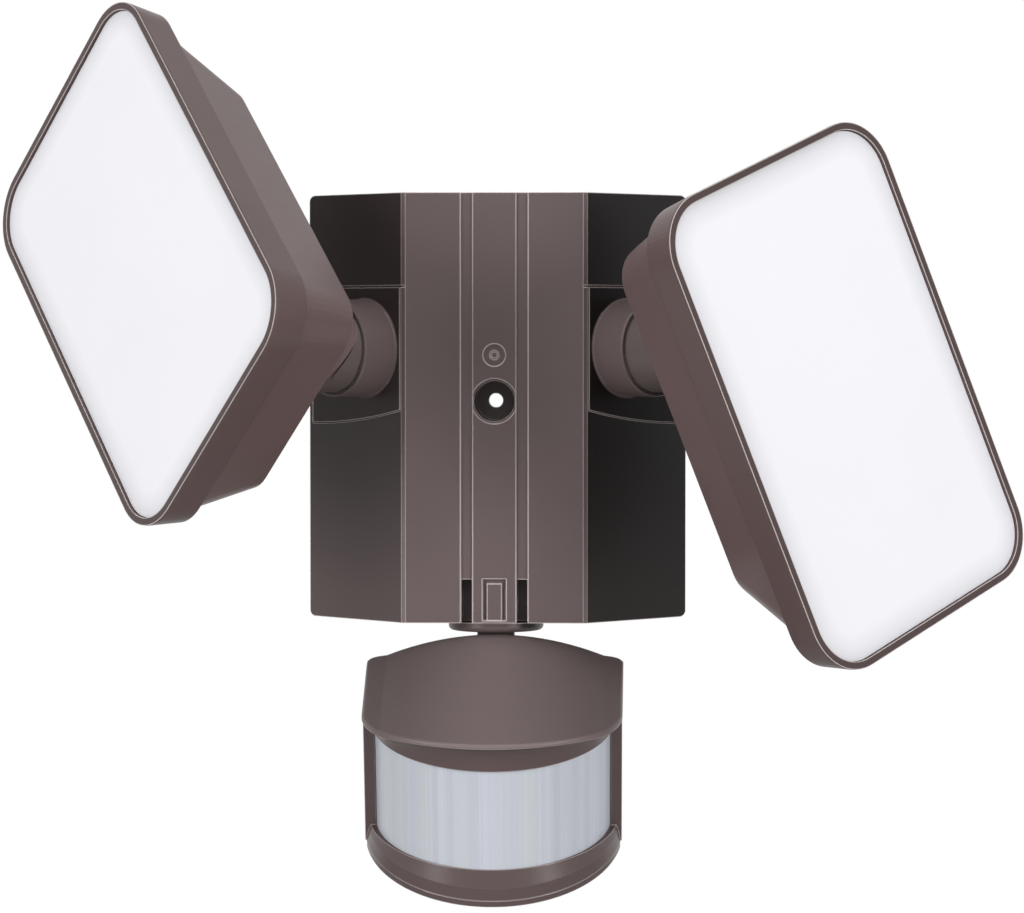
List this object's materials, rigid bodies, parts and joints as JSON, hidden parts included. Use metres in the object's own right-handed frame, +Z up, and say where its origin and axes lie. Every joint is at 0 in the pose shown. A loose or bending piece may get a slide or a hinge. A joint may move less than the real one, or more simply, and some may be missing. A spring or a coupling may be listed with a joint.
{
  "type": "security light",
  "caption": "Wall-mounted outdoor security light with LED lamp heads that turn and tilt, and a motion sensor that pans and tilts below the canopy.",
  "frame": {"origin": "on the wall plane, at the axis of the mounting bolt and of the bore behind it", "axes": "+Y into the wall, +Z up, +X to the right as seen from in front"},
  "size_m": [0.333, 0.1547, 0.2829],
  "materials": {
    "bronze_shell": "satin",
    "bronze_lamp": "satin",
    "black_plastic": "satin",
    "diffuser_white": "matte",
    "lens_white": "satin",
    "gasket_foam": "matte",
    "steel": "satin",
    "board": "satin",
    "board_white": "satin",
    "led": "gloss"
  },
  "bodies": {
    "canopy": {"canopy_housing": "bronze_shell", "back_plate": "steel", "back_plate_screws": "steel", "wall_gasket": "gasket_foam", "wire_grommet": "gasket_foam", "driver_board": "board", "driver_parts": "black_plastic", "right_arm_panel": "bronze_shell", "left_arm_panel": "bronze_shell"},
    "right_arm_body": {"right_lamp_arm": "bronze_lamp", "right_arm_washer": "steel", "right_arm_nut": "steel", "right_tilt_screw": "steel"},
    "right_lamp_body": {"right_rear_housing": "bronze_lamp", "right_bezel": "bronze_lamp", "right_diffuser": "diffuser_white", "right_seal": "gasket_foam", "right_led_board": "board_white", "right_leds": "led", "right_board_screws": "steel"},
    "left_arm_body": {"left_lamp_arm": "bronze_lamp", "left_arm_washer": "steel", "left_arm_nut": "steel", "left_tilt_screw": "steel"},
    "left_lamp_body": {"left_rear_housing": "bronze_lamp", "left_bezel": "bronze_lamp", "left_diffuser": "diffuser_white", "left_seal": "gasket_foam", "left_led_board": "board_white", "left_leds": "led", "left_board_screws": "steel"},
    "swivel_body": {"sensor_swivel": "bronze_shell", "swivel_nut": "steel"},
    "sensor_body": {"sensor_tilt_pin": "steel", "sensor_housing": "bronze_shell", "sensor_hood": "bronze_shell", "sensor_lens": "lens_white", "sensor_base": "bronze_shell", "sensor_base_screws": "steel", "sensor_board": "board", "pir_element": "steel"},
    "time_dial_body": {"time_dial": "black_plastic"},
    "range_dial_body": {"range_dial": "black_plastic"},
    "mode_switch_body": {"mode_switch": "black_plastic"}
  },
  "joints": [
    {"name": "right_arm_turn", "type": "hinge", "parent": "canopy", "child": "right_arm_body", "pos_m": [0.0426, -0.0467, 0.017], "axis": [0.7071, -0.7071, 0], "range_deg": [-185.3, 144.7]},
    {"name": "left_arm_turn", "type": "hinge", "parent": "canopy", "child": "left_arm_body", "pos_m": [-0.0426, -0.0467, 0.017], "axis": [0.7071, 0.7071, 0], "range_deg": [-298.2, 31.8]},
    {"name": "right_lamp_tilt", "type": "hinge", "parent": "right_arm_body", "child": "right_lamp_body", "pos_m": [0.06296, -0.06706, 0.017], "axis": [0.6632, 0.6632, 0.3469], "range_deg": [-35.6, 39.4]},
    {"name": "left_lamp_tilt", "type": "hinge", "parent": "left_arm_body", "child": "left_lamp_body", "pos_m": [-0.06296, -0.06706, 0.017], "axis": [-0.484, 0.484, -0.729], "range_deg": [-53.9, 21.1]},
    {"name": "sensor_pan", "type": "hinge", "parent": "canopy", "child": "swivel_body", "pos_m": [0, -0.042, -0.0712], "axis": [0, 0, 1], "range_deg": [-85.6, 84.4]},
    {"name": "sensor_tilt", "type": "hinge", "parent": "swivel_body", "child": "sensor_body", "pos_m": [0, -0.042, -0.086], "axis": [0.9999, 0.0105, 0], "range_deg": [0, 55]},
    {"name": "time_dial_turn", "type": "hinge", "parent": "sensor_body", "child": "time_dial_body", "pos_m": [-0.01469, -0.07188, -0.1379], "axis": [0.0047, -0.4446, 0.8957], "range_deg": [-135, 135]},
    {"name": "range_dial_turn", "type": "hinge", "parent": "sensor_body", "child": "range_dial_body", "pos_m": [0.01531, -0.07156, -0.1379], "axis": [0.0047, -0.4446, 0.8957], "range_deg": [-135, 135]},
    {"name": "mode_switch_slide", "type": "slide", "parent": "sensor_body", "child": "mode_switch_body", "axis": [0.9999, 0.0105, 0], "range_m": [-0.003, 0.003]}
  ]
}
